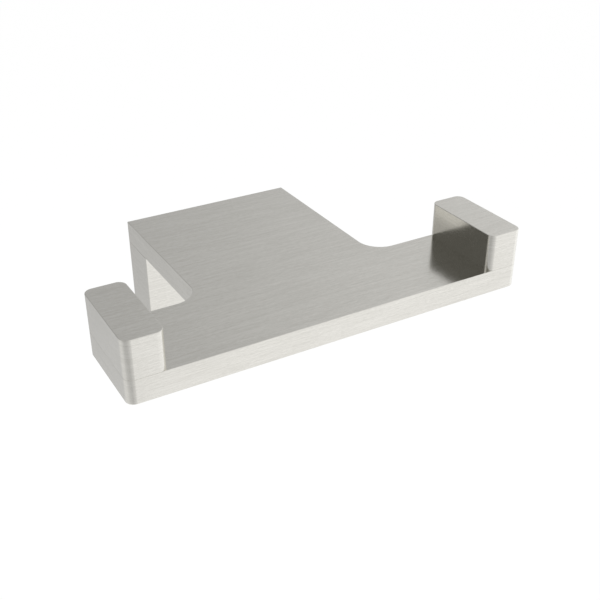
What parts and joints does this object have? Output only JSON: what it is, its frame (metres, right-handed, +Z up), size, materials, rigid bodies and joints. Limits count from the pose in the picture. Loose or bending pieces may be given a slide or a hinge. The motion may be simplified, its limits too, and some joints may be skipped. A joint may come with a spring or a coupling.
{
  "type": "double robe hook",
  "caption": "Wall-mounted double robe hook: a T-shaped plate on a square flange, with a rounded upstand at each end of its front bar.",
  "frame": {"origin": "on the wall, midway between the two wall screws of the hidden bracket, at the middle of the square wall flange", "axes": "+X along the bar to the right as seen from the room, +Y into the wall, +Z up"},
  "size_m": [0.1072, 0.075, 0.0599],
  "materials": {
    "brushed_nickel": "fine brushed nickel, streaks along the bar",
    "bracket_metal": "plain matt as-cast and milled metal, hidden in use",
    "screw_steel": "plain stainless steel"
  },
  "bodies": {
    "root": {"top_plate": "brushed_nickel", "left_upstand": "brushed_nickel", "right_upstand": "brushed_nickel", "wall_flange": "brushed_nickel", "wall_bracket": "bracket_metal", "grub_screw": "screw_steel", "flange_screws": "screw_steel", "upstand_screws": "screw_steel"}
  },
  "joints": []
}
